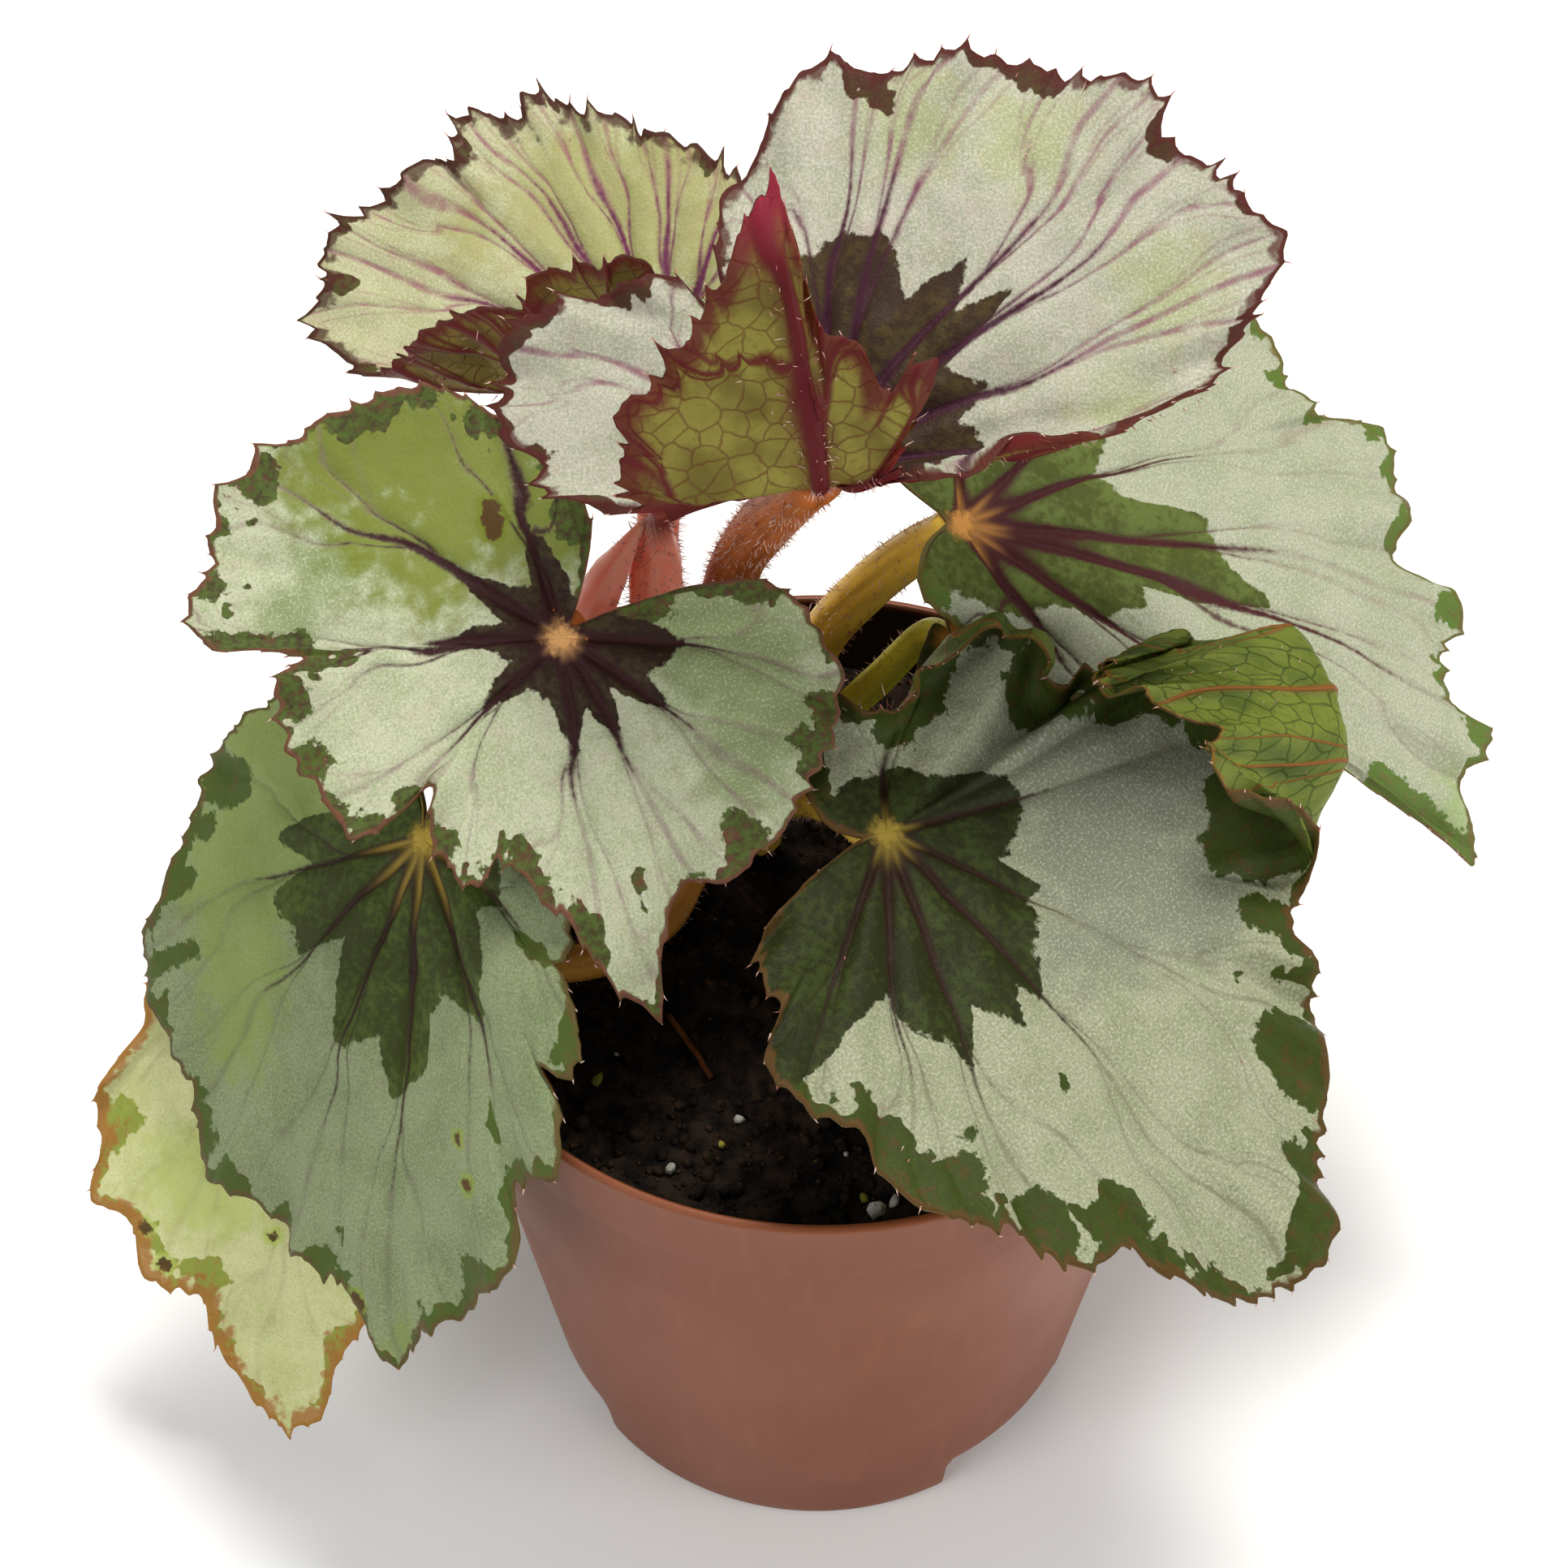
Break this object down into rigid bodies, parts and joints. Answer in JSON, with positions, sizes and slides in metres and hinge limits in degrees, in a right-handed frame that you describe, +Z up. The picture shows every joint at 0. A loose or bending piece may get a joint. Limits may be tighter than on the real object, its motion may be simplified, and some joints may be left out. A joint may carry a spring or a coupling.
{
  "type": "potted rex begonia",
  "caption": "Small rex begonia with broad, asymmetric, silver-patterned leaves on hairy stalks, growing in soil in a round tapered plastic nursery pot.",
  "frame": {"origin": "centre of the pot's flat base, where it rests", "axes": "+Z up through the pot, +X to the right, -Y towards the side of the two large low leaves"},
  "size_m": [0.1909, 0.1418, 0.2158],
  "materials": {
    "pot_plastic": "smooth satin terracotta-brown plastic",
    "soil": "dark crumbly peat",
    "leaf_silver": "silver-green blade with dark green star, brown veins and a dark wavy margin",
    "leaf_pale": "pale yellow-green blade with pinkish veins",
    "leaf_green": "grey-green blade with dark green centre and blotched margin",
    "stalk_red": "reddish-brown hairy stalk",
    "stalk_pink": "coral pink hairy stalk",
    "stalk_ochre": "yellow-ochre translucent stalk"
  },
  "bodies": {
    "root": {"pot": "pot_plastic", "soil": "soil", "leaf_top": "leaf_silver", "stalk_top": "stalk_red", "leaf_back_left": "leaf_pale", "stalk_back_left": "stalk_pink", "leaf_left": "leaf_silver", "stalk_left": "stalk_red", "leaf_front_left": "leaf_green", "stalk_front_left": "stalk_ochre", "leaf_low_left": "leaf_pale", "stalk_low_left": "stalk_ochre", "leaf_right": "leaf_pale", "stalk_right": "stalk_ochre", "leaf_front_right": "leaf_silver", "stalk_front_right": "stalk_ochre", "leaf_inner": "leaf_green", "stalk_inner": "stalk_ochre", "young_leaf": "stalk_pink"}
  },
  "joints": []
}
